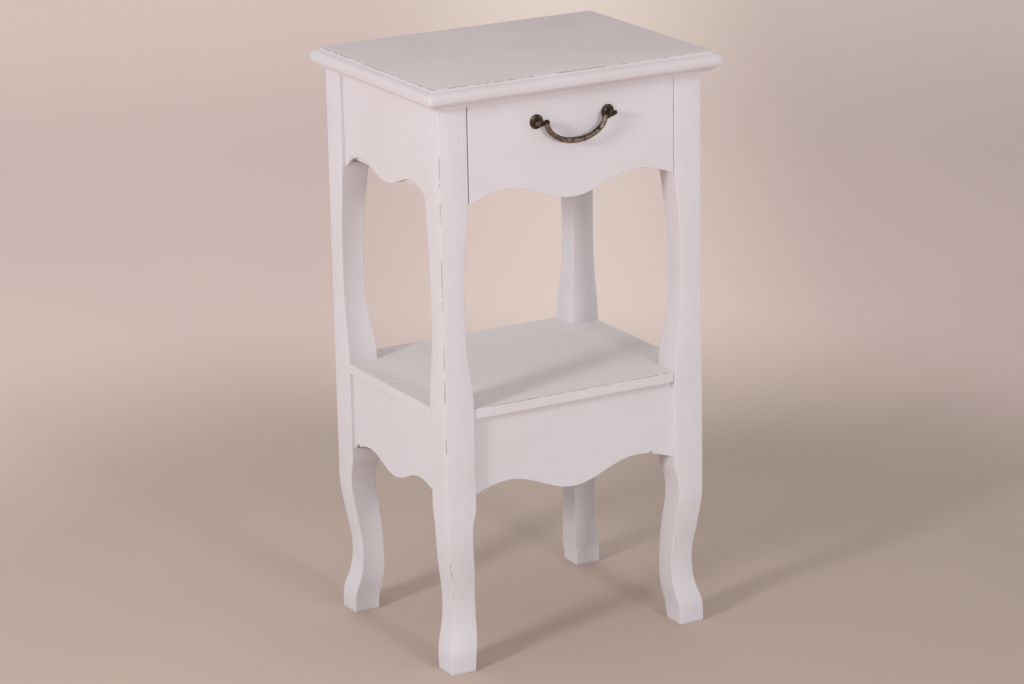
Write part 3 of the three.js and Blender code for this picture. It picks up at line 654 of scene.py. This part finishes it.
def close_joints(form):
    pushes = {}
    for face, outside in outer_sides(form):
        if not outside:
            way = Vector([round(part) for part in face.normal])
            for vertex in face.verts:
                pushes.setdefault(vertex, {})[tuple(way)] = way
    for vertex, ways in pushes.items():
        for way in ways.values():
            vertex.co += way * GLUE_REACH * MM


def grow_ends(form, left, right):
    end = max(vertex.co.x for vertex in form.verts)
    for vertex in form.verts:
        if abs(vertex.co.x) > end - SAME_PLACE:
            vertex.co.x += (right if vertex.co.x > 0 else -left) * MM


def cut_across(form, axis, step):
    low = min(vertex.co[axis] for vertex in form.verts)
    high = max(vertex.co[axis] for vertex in form.verts)
    normal = Vector([1.0 if i == axis else 0.0 for i in range(3)])
    count = int((high - low) / (step * MM))
    for i in range(1, count):
        place = normal * (low + (high - low) * i / count)
        everything = [*form.verts, *form.edges, *form.faces]
        bmesh.ops.bisect_plane(
            form, geom=everything, plane_co=place, plane_no=normal, dist=SAME_PLACE
        )


print("Joined boards reach", GLUE_REACH, "mm further in")

# %% [markdown]
# An edge is rounded when it stands proud, is longer than the facets of a drilled hole and
# lies outside the joints. A board whose ends are hidden is rounded along its length only.
# While the new faces exist, the middle of each bevel is stored as "arris" for the paint.

# %% Helper: a board with soft edges
FLAT = math.radians(0.5)  # faces that differ by less than this lie in one plane
PROUD = math.radians(30)  # an edge stands proud when its faces turn by more than this
LEANING = math.radians(60)  # an edge runs along the board when it leans less than this
LONGEST_FACET = 1.3 * MM


def slope(edge, axis):
    run = edge.verts[1].co - edge.verts[0].co
    return math.acos(min(1.0, abs(run[axis]) / run.length))


def sharp_edges(form, in_joints, along):
    return [
        edge
        for edge in form.edges
        if len(edge.link_faces) == 2
        and edge.calc_face_angle_signed() > PROUD
        and edge.calc_length() > LONGEST_FACET
        and edge not in in_joints
        and (along is None or slope(edge, along) < LEANING)
    ]


def soften(
    node, body, slot, material, radius, joined=False, along=None, cuts=(), grown=None
):
    form = bmesh.new()
    form.from_mesh(frame["nodes"][node].data)
    bmesh.ops.remove_doubles(form, verts=form.verts, dist=1e-6)
    if grown:
        grow_ends(form, *grown)
    bmesh.ops.dissolve_limit(form, angle_limit=FLAT, verts=form.verts, edges=form.edges)
    for axis, step in cuts:
        cut_across(form, axis, step)
    form.normal_update()
    in_joints = set()
    if joined:
        for face, outside in outer_sides(form):
            if not outside:
                in_joints.update(face.edges)
        close_joints(form)
    sharp = sharp_edges(form, in_joints, along)
    made = bmesh.ops.bevel(
        form,
        geom=sharp,
        offset=radius * MM,
        segments=3,
        profile=0.5,
        affect="EDGES",
        clamp_overlap=True,
    )
    arris = form.verts.layers.float.new("arris")
    rounded = set(made["faces"])
    for vertex in form.verts:
        vertex[arris] = float(all(face in rounded for face in vertex.link_faces))
    mesh = mesh_from(form, node + "_finished", 35)
    store_wear(mesh)
    piece = dress(node + "_finished", mesh, body, slot, material, [node])
    piece.modifiers.new("flat_faces_stay_flat", "WEIGHTED_NORMAL").keep_sharp = True
    return piece


print("soften() is ready")

# %% [markdown]
# ## Painted boards
#
# The aprons hang between the legs and most of their lower edges are sawn in scallops. The
# moulding strips, the shelf and the drawer front are boards too, and all of them are
# painted along their length, so each takes the paint whose strokes run its own way.

# %% Painted boards
painted_boards = {
    "top_moulding_front": "across",
    "top_moulding_left": "deep",
    "top_moulding_right": "deep",
    "top_batten_back": "across",
    "upper_apron_left": "deep",
    "upper_apron_right": "deep",
    "upper_apron_back": "across",
    "lower_apron_front": "across",
    "lower_apron_left": "deep",
    "lower_apron_right": "deep",
    "lower_apron_back": "across",
}
way_axis = {"across": 0, "deep": 1}
for node, way in painted_boards.items():
    piece = soften(
        node,
        "table",
        "white_paint",
        paint[way],
        radius=0.7,
        joined="apron" in node,
        along=way_axis[way],
    )
    print(node, "has", len(piece.data.vertices), "vertices")
soften("drawer_front", "drawer", "white_paint", paint["across"], radius=0.7, grown=(0.3, 0.9))
soften(
    "shelf_board",
    "table",
    "white_paint",
    paint["shelf"],
    radius=0.9,
    joined=True,
    cuts=[(0, 8), (1, 40)],
)

# %% [markdown]
# ## Forms made of stacked rings
#
# A leg changes its thickness all the way up, and the top board changes its outline all
# the way through its moulded edge. Both can be described as a stack of rounded
# rectangles, each at its own height. Neighbouring rings are joined with four-sided faces,
# which shade smoothly and leave the surface open to any profile. A subdivision surface
# would need extra loops to hold the long straight edges, and a Boolean would bring back
# long thin triangles.

# %% Helper: a stack of rounded rectangles
CORNERS = ((1, 1), (0, 1), (0, 0), (1, 0))  # right or left, back or front
CORNER_TURNS = 5


def on_corner(x, y, radius, number, turn):
    right, back = CORNERS[number % 4]
    middle_x = x[right] - radius * (1 if right else -1)
    middle_y = y[back] - radius * (1 if back else -1)
    angle = math.pi / 2 * (number + turn)
    return middle_x + radius * math.cos(angle), middle_y + radius * math.sin(angle)


def ring_points(x, y, height, radius, spans):
    """Points of one ring, each with 1 in the middle of a rounded corner and 0 beside it."""
    points = []
    for number in range(4):
        for i in range(CORNER_TURNS + 1):
            point = on_corner(x, y, radius, number, i / CORNER_TURNS)
            points.append((*point, 1 - abs(2 * i / CORNER_TURNS - 1)))
        start_x, start_y = points[-1][:2]
        goal_x, goal_y = on_corner(x, y, radius, number + 1, 0)
        count = spans[number % 2]
        for share in [i / count for i in range(1, count)]:
            across = start_x + (goal_x - start_x) * share
            deep = start_y + (goal_y - start_y) * share
            points.append((across, deep, 0.0))
    return [(Vector((px, py, height)) * MM, corner) for px, py, corner in points]


def stack(name, rings, spans=(1, 1)):
    form = bmesh.new()
    arris = form.verts.layers.float.new("arris")
    loops = []
    for x, y, height, radius, sharpness in rings:
        loop = []
        for point, corner in ring_points(x, y, height, radius, spans):
            vertex = form.verts.new(point)
            vertex[arris] = max(corner, sharpness)
            loop.append(vertex)
        loops.append(loop)
    for below, above in zip(loops, loops[1:]):
        for i in range(len(below)):
            j = (i + 1) % len(below)
            form.faces.new((below[i], below[j], above[j], above[i]))
    form.faces.new(reversed(loops[0]))
    form.faces.new(loops[-1])
    mesh = mesh_from(form, name, 40)
    store_wear(mesh)
    return mesh


print("stack() is ready")

# %% [markdown]
# ## The legs
#
# Each leg was sawn from a square stick along the same curve on two sides: a block for the
# drawer and one for the shelf, a thin waist between them, a narrow ankle and a foot that
# swings out. The finished leg must follow its solid closely, so the solid is measured. At
# every four millimetres of height, four straight lines are shot at it, and where they hit
# are the four sides of that ring.

# %% Helper: measure a leg
DEPTH_IN = 28  # the measuring lines pass this far inside the outer faces
FAR_OUT = 400  # and start this far from the middle of the table


def first_hit(tree, start, direction, axis):
    hit = tree.ray_cast(Vector(start) * MM, Vector(direction))[0]
    return hit[axis] / MM


def leg_sides(tree, left, front, height):
    x_in = DEPTH_IN - LEG_SIDE if left else LEG_SIDE - DEPTH_IN
    y_in = LEG_FRONT + DEPTH_IN if front else LEG_BACK - DEPTH_IN
    return [
        first_hit(tree, (-FAR_OUT, y_in, height), (1, 0, 0), 0),
        first_hit(tree, (FAR_OUT, y_in, height), (-1, 0, 0), 0),
        first_hit(tree, (x_in, -FAR_OUT, height), (0, 1, 0), 1),
        first_hit(tree, (x_in, FAR_OUT, height), (0, -1, 0), 1),
    ]


def solid_tree(node):
    solid = frame["nodes"][node].data
    places = [vertex.co for vertex in solid.vertices]
    return BVHTree.FromPolygons(places, [face.vertices for face in solid.polygons])


sample = leg_sides(solid_tree("leg_front_left"), True, True, 60)
print("60 mm up, the front left leg is", round(sample[1] - sample[0], 1), "mm wide")

# %% [markdown]
# A short running average over neighbouring rings removes the small facets of the solid.
# At both ends the leg closes with a narrower ring, which rounds the rim of its foot.

# %% Legs
LEG_TOP, RING_STEP = 694.0, 4
LEG_EDGE = 0.9  # radius of the upright edges
RIM = 0.8  # how far the two end rings are drawn in
PROBE_INSET = 0.4  # the ends are measured this far inside, where there is wood to hit


def averaged(rows):
    smooth = []
    for i in range(len(rows)):
        near = rows[max(i - 1, 0) : i + 2]
        smooth.append([sum(values) / len(near) for values in zip(*near)])
    return smooth


def make_leg(node):
    tree = solid_tree(node)
    left, front = "left" in node, "front" in node
    count = round(LEG_TOP / RING_STEP)
    heights = [LEG_TOP * i / count for i in range(count + 1)]
    probes = [min(max(height, PROBE_INSET), LEG_TOP - PROBE_INSET) for height in heights]
    sides = averaged([leg_sides(tree, left, front, height) for height in probes])
    rings = [
        ((x0, x1), (y0, y1), height, LEG_EDGE, 0.0)
        for (x0, x1, y0, y1), height in zip(sides, heights)
    ]
    for end, inward in ((0, 1), (-1, -1)):
        (x0, x1), (y0, y1), height, radius, _ = rings[end]
        rings[end] = ((x0, x1), (y0, y1), height + inward, radius, 0.0)
        tip = ((x0 + RIM, x1 - RIM), (y0 + RIM, y1 - RIM), height, radius - 0.4, 0.5)
        rings.insert(0 if end == 0 else len(rings), tip)
    mesh = stack(node + "_finished", rings)
    return dress(node + "_finished", mesh, "table", "white_paint", paint["upright"], [node])


for node in ("leg_front_left", "leg_front_right", "leg_back_left", "leg_back_right"):
    leg = make_leg(node)
    print(node, "has", len(leg.data.vertices), "vertices")

# %% [markdown]
# ## The top board
#
# The top is one board whose edge is moulded all round: a rounded nose, a narrow flat and
# a small step up to the raised field. Its rings run from the underside outwards, round
# the nose and in again. The rings stand close together where the edge turns sharply, and
# the ring on the edge of the field carries the "arris" that the paint looks for. Their
# straight sides are divided too, so that the wear can come and go along them.

# %% Top board
def top_board_rings():
    """Rings of the board, from a profile of inset from the outline, height and arris."""
    low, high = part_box("top_board")
    x0, y0, z0 = low / MM
    x1, y1, z1 = high / MM
    shoulder, nose = z1 - 3.5, 7.0
    profile = [(0.9, z0, 0.0), (0.25, z0 + 0.3, 0.6), (0.0, z0 + 1.0, 0.0)]
    for i in range(9):
        turn = math.pi / 2 * i / 8
        inset, fall = nose * (1 - math.cos(turn)), nose * (1 - math.sin(turn))
        profile.append((inset, shoulder - fall, 0.0))
    profile += [(8.2, shoulder, 0.0), (8.5, shoulder + 0.3, 0.0), (8.5, z1 - 0.8, 0.0)]
    profile += [(8.62, z1 - 0.35, 1.0), (8.95, z1 - 0.08, 1.0), (9.4, z1, 0.0)]
    return [
        ((x0 + inset, x1 - inset), (y0 + inset, y1 - inset), z, max(2.2 - inset / 5, 0.7), sharp)
        for inset, z, sharp in profile
    ]


top_mesh = stack("top_board_finished", top_board_rings(), spans=(40, 30))
top = dress("top_board_finished", top_mesh, "table", "white_paint", paint["top"], ["top_board"])
print("The top board has", len(top.data.vertices), "vertices")

# %% [markdown]
# ## The drawer box and its guides
#
# Behind its painted front the drawer is a plain box of planed softwood with a thin
# plywood bottom, and it runs between strips screwed inside the frame. These pieces show
# when the drawer is pulled out or the table is seen from below, so they get soft edges
# and grain that follows each board.

# %% Drawer box, guides and cleats
planed_boards = {
    "drawer_side_left": ("drawer", "bare_pine", pine["deep"]),
    "drawer_side_right": ("drawer", "bare_pine", pine["deep"]),
    "drawer_back": ("drawer", "bare_pine", pine["across"]),
    "drawer_bottom": ("drawer", "thin_plywood", plywood),
}
for hand in ("left", "right"):
    for strip in ("drawer_runner_", "drawer_kicker_", "drawer_stop_", "shelf_cleat_"):
        planed_boards[strip + hand] = ("table", "bare_pine", pine["deep"])
for node, (body, slot, wood) in planed_boards.items():
    soften(node, body, slot, wood, radius=0.5)
print("Planed boards:", len(planed_boards))

# %% [markdown]
# ## Turned pieces
#
# Rosettes, posts and the ends of the handle are turned: one outline swept round an axis.
# A Screw modifier does this too, but the mesh is needed at once for its wear, so the
# rings are made directly. Where the outline stands proud, fingers polish the metal. Each
# point of the outline carries its radius, its place along the axis and that polish.

# %% Helper: turn an outline round an axis
def turned(form, outline, place, sides=40):
    rubbed_and_painted_highlight = form.verts.layers.float.get("rubbed_and_painted_highlight") or form.verts.layers.float.new("rubbed_and_painted_highlight")
    loops = []
    for radius, along, polish in outline:
        loop = []
        for i in range(sides if radius > 0 else 1):
            angle = 2 * math.pi * i / sides
            local = Vector((radius * math.cos(angle), radius * math.sin(angle), along)) * MM
            vertex = form.verts.new(place @ local)
            vertex[rubbed_and_painted_highlight] = polish
            loop.append(vertex)
        loops.append(loop)
    for below, above in zip(loops, loops[1:]):
        for i in range(sides):
            j = (i + 1) % sides
            ends = [below[i % len(below)], below[j % len(below)]]
            ends += [above[j % len(above)], above[i % len(above)]]
            corners = list(dict.fromkeys(ends))
            if len(corners) > 2:
                form.faces.new(corners)
    return form


def brass_piece(node, form, body):
    bmesh.ops.recalc_face_normals(form, faces=form.faces)
    mesh = mesh_from(form, node + "_finished", 50)
    return dress(node + "_finished", mesh, body, "antique_brass", brass, [node])


print("turned() is ready")

# %% [markdown]
# ## Rosettes and posts
#
# The handle hangs between two small posts. Each stands on a domed rosette, swells into a
# ball that holds the hinge pin, and ends in a round nub. Their axes point out of the
# drawer front, at the height of the hinge, which the frame knows.

# %% Rosettes and posts
hinge = next(joint["pos_m"] for joint in frame["joints"] if joint["name"] == "bail_hinge")
POST_ASIDE = 48  # from the middle of the drawer to each post

rosette_outline = [
    (2.25, 0.25, 0.0),
    (8.6, 0.25, 0.0),
    (8.75, 0.45, 0.3),
    (8.75, 0.75, 0.5),
    (8.6, 0.9, 0.5),
    (8.0, 0.82, 0.0),
    (7.75, 1.05, 0.0),
    (7.4, 1.3, 0.35),
    (6.8, 1.55, 0.4),
    (6.2, 1.6, 0.0),
    (5.9, 1.95, 0.0),
    (5.4, 2.4, 0.2),
    (4.6, 2.8, 0.3),
    (3.9, 2.95, 0.1),
    (3.3, 3.0, 0.0),
    (2.25, 3.0, 0.0),
]
rosette_outline += rosette_outline[:1]  # the rosette is a closed ring round its hole

ball_radius, hinge_reach = 4.3, 10.5
post_outline = [(0, 3.25, 0.0), (3.4, 3.25, 0.0), (3.5, 3.6, 0.1), (3.1, 4.4, 0.0)]
post_outline += [(2.9, 6.0, 0.0)]
for i in range(2, 15):
    turn_angle = math.radians(30 + 120 * i / 16)
    reach = ball_radius * math.sin(turn_angle)
    post_outline.append((reach, hinge_reach - ball_radius * math.cos(turn_angle), 0.03 * i))
post_outline += [(2.75, 13.65, 0.0), (2.9, 14.0, 0.1), (2.95, 14.4, 0.1), (2.7, 14.95, 0.0)]
post_outline += [(2.1, 15.35, 0.0), (1.2, 15.5, 0.0), (0, 15.5, 0.0)]


def out_of_drawer(x):
    """Turns the axis of an outline so that it points out of the drawer front."""
    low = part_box("drawer_front")[0]
    return Matrix.Translation((x * MM, low.y, hinge[2])) @ Matrix.Rotation(math.pi / 2, 4, "X")


for hand, x in (("left", -POST_ASIDE), ("right", POST_ASIDE)):
    for part, outline in (("rosette", rosette_outline), ("post", post_outline)):
        form = turned(bmesh.new(), outline, out_of_drawer(x))
        bmesh.ops.remove_doubles(form, verts=form.verts, dist=1e-7)
        brass_piece(f"handle_{part}_{hand}", form, "drawer")
print("Each post is", 2 * ball_radius, "mm across its ball")

# %% [markdown]
# ## The hanging handle
#
# The bail is a brass rod bent to half an oval. A small swelling between two collars in
# its middle fills the fingers, and each end is a round knuckle on a hinge pin. A curve
# with a bevel would need a second curve for its changing thickness. The rod is a row of
# rings that follow the oval instead, each with its own radius.

# %% Helper: the rod's thickness
half_span, drop = 39.5, 26.0
ROD, COLLAR = 3.25, 3.75  # radii of the plain rod and of its two collars
COLLAR_AT, COLLAR_HALF = 11, 1.2  # a collar's distance from the middle, and half its width
SWELLING = 0.24  # how much thicker the rod is in the middle
ROD_STATIONS = 72


def rod_radius(x):
    beside = abs(abs(x) - COLLAR_AT)
    if beside < COLLAR_HALF:
        return COLLAR - 0.4 * (beside / COLLAR_HALF) ** 4
    if abs(x) < COLLAR_AT:
        return ROD + SWELLING / 2 * (1 + math.cos(math.pi * x / COLLAR_AT))
    return ROD


def rod_stations():
    """Angles round the oval for the rings, closer together at the two collars."""
    angles = {math.pi * i / ROD_STATIONS for i in range(ROD_STATIONS + 1)}
    for side in (-1, 1):
        for beside in (-1.21, -1.19, -0.9, -0.5, 0, 0.5, 0.9, 1.19, 1.21):
            angles.add(math.acos(-(side * COLLAR_AT + beside) / half_span))
    return sorted(angles)


print("The rod has", len(rod_stations()), "rings")

# %% [markdown]
# The rings of the rod lean with the oval. Fingers polish the collars most of all. The side
# that faces the room and hangs lowest is paler, and the top and back darker: partly finger
# polish and partly a painted highlight. The knuckles and pins are turned like the posts, on
# the line that the handle swings round.

# %% Hanging handle
ROD_SIDES = 28
KNUCKLE = 3.4
knuckle_outline = [(0, -KNUCKLE, -0.1)]
for i in range(1, 14):
    tilt = math.pi * i / 14
    knuckle_outline.append((KNUCKLE * math.sin(tilt), -KNUCKLE * math.cos(tilt), -0.1))
knuckle_outline.append((0, KNUCKLE, -0.1))
pin_outline = [(0, half_span, 0), (1.8, half_span, 0), (1.8, 52.9, 0), (2.4, 52.9, 0.2)]
pin_outline += [(2.6, 53.1, 0.4), (2.6, 53.75, 0.5), (2.3, 54.05, 0.5), (0, 54.1, 0.4)]


def bail_form():
    form = bmesh.new()
    rubbed_and_painted_highlight = form.verts.layers.float.new("rubbed_and_painted_highlight")
    centre = Vector(hinge)
    loops = []
    for angle in rod_stations():
        x, z = -half_span * math.cos(angle), -drop * math.sin(angle)
        along = Vector((half_span * math.sin(angle), 0, -drop * math.cos(angle))).normalized()
        aside = Vector((0, -1, 0)).cross(along)
        radius = rod_radius(x)
        loop = []
        for i in range(ROD_SIDES):
            turn_angle = 2 * math.pi * i / ROD_SIDES
            lean = Vector((0, -1, 0)) * math.cos(turn_angle) + aside * math.sin(turn_angle)
            vertex = form.verts.new(centre + (Vector((x, 0, z)) + lean * radius) * MM)
            proud = 0.7 if radius > ROD + 0.15 else 0.5
            # paler towards the room and the floor: partly finger polish, partly a painted
            # highlight
            vertex[rubbed_and_painted_highlight] = proud * max(0.0, 0.6 - 0.4 * lean.y - 0.3 * lean.z)
            loop.append(vertex)
        loops.append(loop)
    for before, after in zip(loops, loops[1:]):
        for i in range(ROD_SIDES):
            j = (i + 1) % ROD_SIDES
            form.faces.new((before[i], before[j], after[j], after[i]))
    form.faces.new(reversed(loops[0]))
    form.faces.new(loops[-1])
    for side in (-1, 1):
        sideways = Matrix.Rotation(side * math.pi / 2, 4, "Y")
        to_end = Matrix.Translation(centre + Vector((side * half_span * MM, 0, 0)))
        turned(form, knuckle_outline, to_end @ sideways, ROD_SIDES)
        turned(form, pin_outline, Matrix.Translation(centre) @ sideways, 24)
    return form


bail = brass_piece("handle_bail", bail_form(), "bail")
print("The handle has", len(bail.data.vertices), "vertices")

# %% [markdown]
# ## Screws
#
# Ten screws hold the top, the shelf and the handle. Their solids have the right shape
# already, down to the slot in each head, so they stay as they are and take dull zinc.

# %% Screws
screws = [name for name in frame["nodes"] if "screw" in name]
for name in screws:
    solid = frame["nodes"][name]
    solid.data.materials.clear()
    solid.data.materials.append(zinc)
print("Screws:", len(screws))

# %% [markdown]
# ## Floor
#
# The photograph was taken on a sheet of pale warm paper. A wide plain floor stands in
# for it and catches the soft shadows. Its colour holds painted light and shade too: it is
# darker near the table and towards the right, and lighter further away, and behind the
# table it rises into a painted pool of light. The pool is a faint glow that only the
# camera can see, since a real lamp there would also light the table.

# %% Paper
# painted shade near the table and towards the right, painted light further away
near_paper_painted_shade = (chart_colour(207, 187, 174), chart_colour(196, 177, 164))
far_paper_painted_light = chart_colour(242, 219, 211)
near_to_far = (0.65, 1.45)  # metres from the table
left_tint_painted_light, right_tint_painted_shade = (1.03, 1.01, 1.01, 1), (0.8, 0.78, 0.78, 1)
left_to_right = (-0.7, 1.3)  # metres across the picture
pool_colour, pool_strength = (1, 0.957, 0.813, 1), 0.15


def paper_material():
    paper = bpy.data.materials.new("pale_paper")
    paper.use_nodes = True
    tree = paper.node_tree
    shader = tree.nodes["Principled BSDF"]
    place = position(tree)
    cloud = noise(tree, place, 1.6, 3.0)
    near = blend_colours(tree, cloud, *near_paper_painted_shade)
    distance = add_node(tree, "VectorMath", {0: place}, operation="LENGTH").outputs["Value"]
    far = smooth_step(tree, distance, *near_to_far)
    tint = blend_colours(tree, far, near, far_paper_painted_light)
    across = add_node(tree, "VectorMath", {0: place, 1: picture_right}, operation="DOT_PRODUCT")
    across = across.outputs["Value"]
    right_share = smooth_step(tree, across, *left_to_right)
    painted_light_falloff = blend_colours(tree, right_share, left_tint_painted_light, right_tint_painted_shade)
    tint = blend_colours(tree, 1.0, tint, painted_light_falloff, "MULTIPLY")
    tree.links.new(tint, shader.inputs["Base Color"])
    shader.inputs["Roughness"].default_value = 0.85

    aside = sums(tree, "ABSOLUTE", sums(tree, "SUBTRACT", across, 0.1))
    pool = sums(tree, "MULTIPLY", far, smooth_step(tree, aside, 0.5, 0.0))
    pool = sums(tree, "ADD", pool, smooth_step(tree, distance, 2.4, 4.0, 0.0, 0.6))
    seen = add_node(tree, "LightPath").outputs["Is Camera Ray"]
    glow = sums(tree, "MULTIPLY", sums(tree, "MULTIPLY", pool, seen), pool_strength)
    tree.links.new(glow, shader.inputs["Emission Strength"])
    shader.inputs["Emission Color"].default_value = pool_colour
    return paper


paper = paper_material()
print("The paper's material has", len(paper.node_tree.nodes), "nodes")

# %% [markdown]
# The floor belongs to the studio and not to the table, and so it is marked as stage.

# %% Floor
FLOOR_HALF = 14  # metres from the middle of the floor to its edge

floor_form = bmesh.new()
bmesh.ops.create_grid(floor_form, x_segments=24, y_segments=24, size=FLOOR_HALF)
floor_mesh = bpy.data.meshes.new("floor")
floor_form.to_mesh(floor_mesh)
floor_form.free()
floor_mesh.materials.append(paper)
floor = bpy.data.objects.new("floor", floor_mesh)
bpy.context.scene.collection.objects.link(floor)
floor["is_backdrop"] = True
print("The floor is", round(floor.dimensions.x), "m wide")

# %% [markdown]
# ## Measure the size
#
# A dressed piece may not grow the table. The box round the plain solids is taken from
# the box round the finished pieces, and the difference is printed.

# %% Sizes
dressed_low, dressed_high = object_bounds()
grown = [1000 * (a - b) for a, b in zip(dressed_high - dressed_low, solid_high - solid_low)]
print("The dressed table is larger by", [round(side, 2) for side in grown], "mm")
